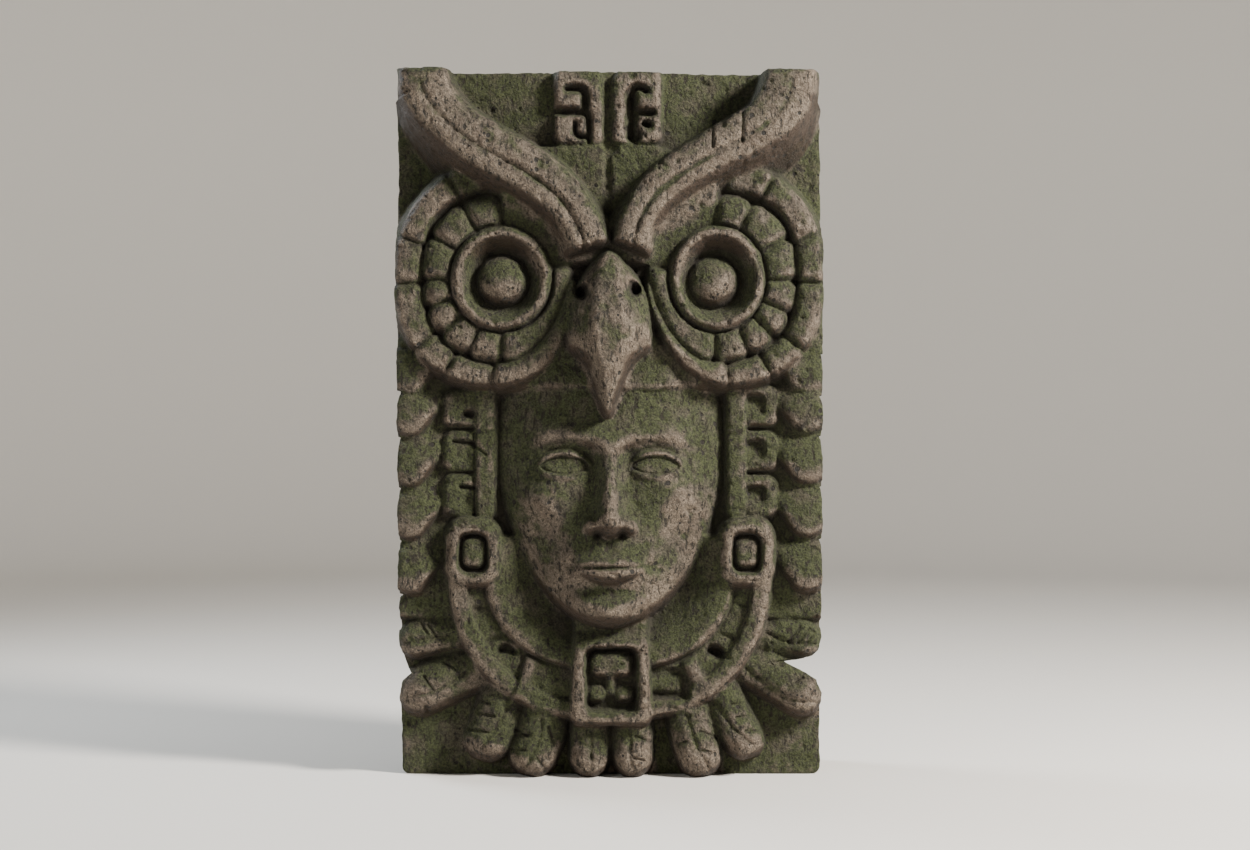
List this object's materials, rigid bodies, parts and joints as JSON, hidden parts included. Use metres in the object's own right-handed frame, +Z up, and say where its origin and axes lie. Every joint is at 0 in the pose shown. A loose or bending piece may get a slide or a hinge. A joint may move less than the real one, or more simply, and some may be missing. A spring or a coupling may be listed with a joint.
{
  "type": "carved stone plaque",
  "caption": "Upright carved stone plaque: an owl's head with horned brows and ringed eyes above a calm human face, ear spools, a wide collar, a square pendant and a fan of feathers.",
  "frame": {"origin": "centre of the bounding box's underside, on the surface the plaque stands on", "axes": "+Z up along the plaque's height, -Y out of the carved front, +X to the viewer's right"},
  "size_m": [0.303, 0.132, 0.5],
  "materials": {
    "stone": "rough, pitted, weathered, with green moss in the hollows"
  },
  "bodies": {
    "root": {"owl_head_plaque": "stone"}
  },
  "joints": []
}
